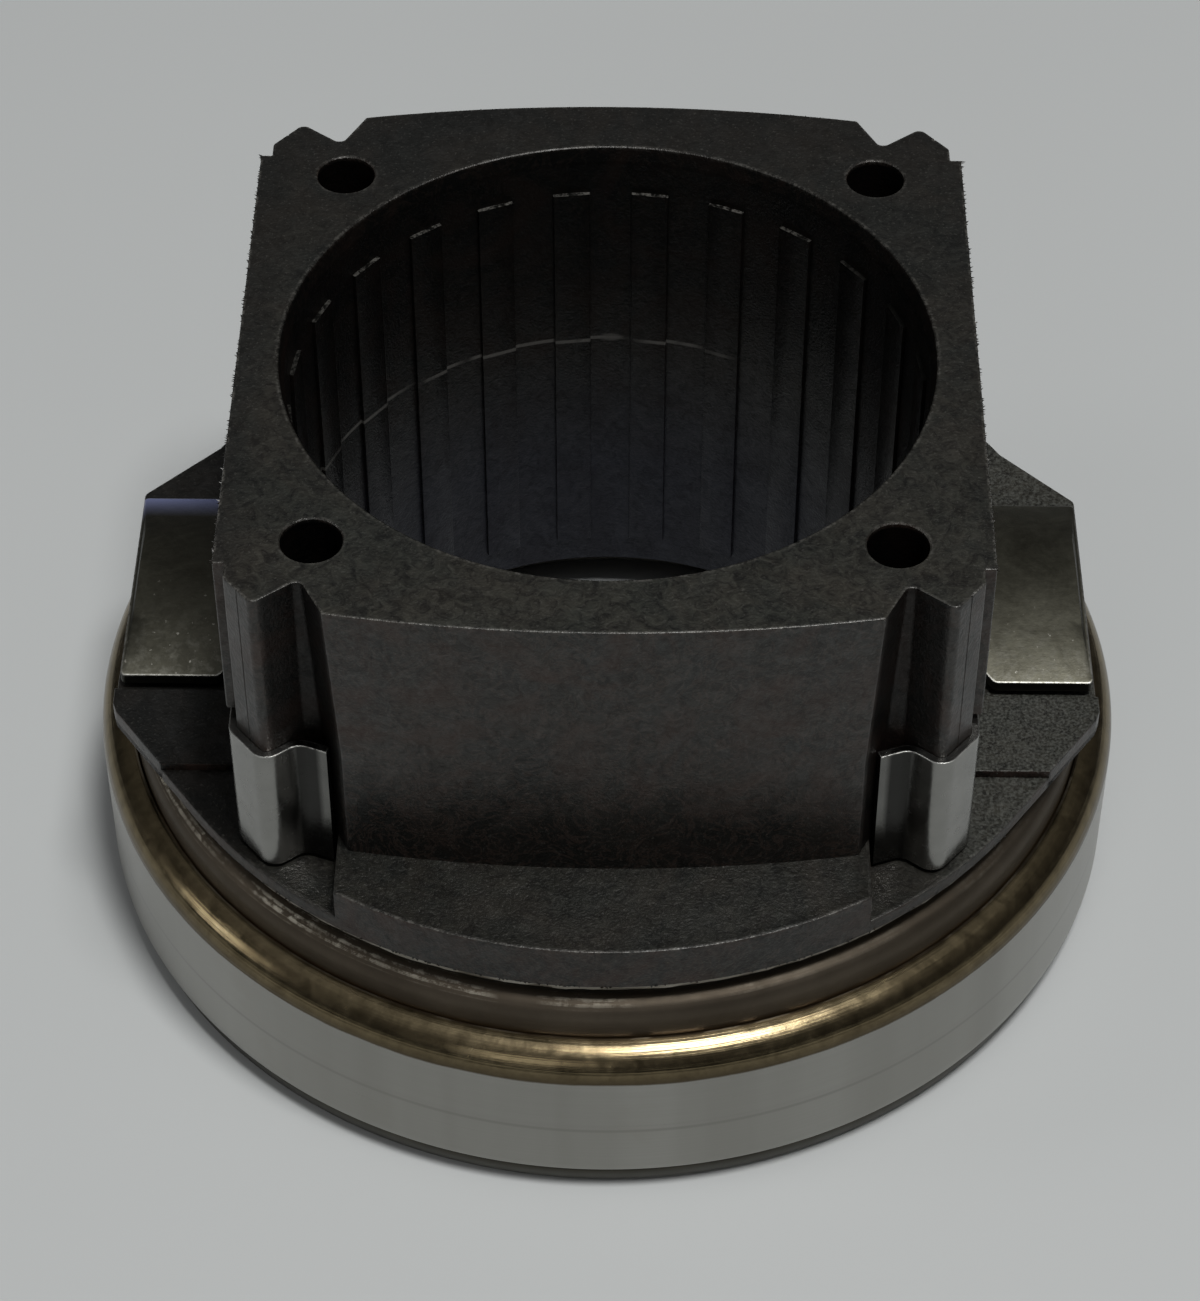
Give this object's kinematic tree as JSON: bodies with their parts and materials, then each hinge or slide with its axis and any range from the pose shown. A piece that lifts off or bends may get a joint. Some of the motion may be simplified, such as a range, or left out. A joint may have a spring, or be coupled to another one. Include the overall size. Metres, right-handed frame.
{
  "type": "clutch release bearing",
  "caption": "Clutch release bearing: square guide sleeve with ribbed bore and winged flange, clipped-on steel fork saddles, and a ball bearing whose contact ring turns.",
  "frame": {"origin": "on the bearing axis at the contact face that meets the clutch's spring fingers", "axes": "+Z along the guide bore from the contact face to the top of the sleeve block, X from one fork saddle to the other"},
  "size_m": [0.1032, 0.1032, 0.0617],
  "materials": {
    "sleeve_plastic": "matte",
    "saddle_steel": "satin",
    "plate_steel": "satin",
    "spring_steel": "satin",
    "cover_steel": "satin",
    "ring_steel": "satin",
    "seal_rubber": "matte",
    "contact_steel": "satin",
    "cage_plastic": "satin",
    "ball_steel": "polished"
  },
  "bodies": {
    "sleeve": {"guide_sleeve": "sleeve_plastic", "fork_saddle_left": "saddle_steel", "fork_saddle_right": "saddle_steel", "thrust_plate": "plate_steel", "disc_spring": "spring_steel", "cover_ring": "cover_steel", "snap_ring": "spring_steel", "outer_ring": "ring_steel", "upper_seal": "seal_rubber", "lower_seal": "seal_rubber"},
    "contact": {"contact_ring": "contact_steel"},
    "cage": {"ball_cage": "cage_plastic", "ball_01": "ball_steel", "ball_02": "ball_steel", "ball_03": "ball_steel", "ball_04": "ball_steel", "ball_05": "ball_steel", "ball_06": "ball_steel", "ball_07": "ball_steel", "ball_08": "ball_steel", "ball_09": "ball_steel", "ball_10": "ball_steel", "ball_11": "ball_steel", "ball_12": "ball_steel", "ball_13": "ball_steel", "ball_14": "ball_steel", "ball_15": "ball_steel", "ball_16": "ball_steel", "ball_17": "ball_steel", "ball_18": "ball_steel", "ball_19": "ball_steel", "ball_20": "ball_steel", "ball_21": "ball_steel", "ball_22": "ball_steel"}
  },
  "joints": [
    {"name": "contact_ring_spin", "type": "hinge", "parent": "sleeve", "child": "contact", "pos_m": [0, 0, 0.009], "axis": [0, 0, 1], "continuous": true},
    {"name": "cage_spin", "type": "hinge", "parent": "sleeve", "child": "cage", "pos_m": [0, 0, 0.009], "axis": [0, 0, 1], "continuous": true}
  ],
  "couplings": [
    {"joint": "cage_spin", "follows": "contact_ring_spin", "ratio": 0.46035}
  ]
}
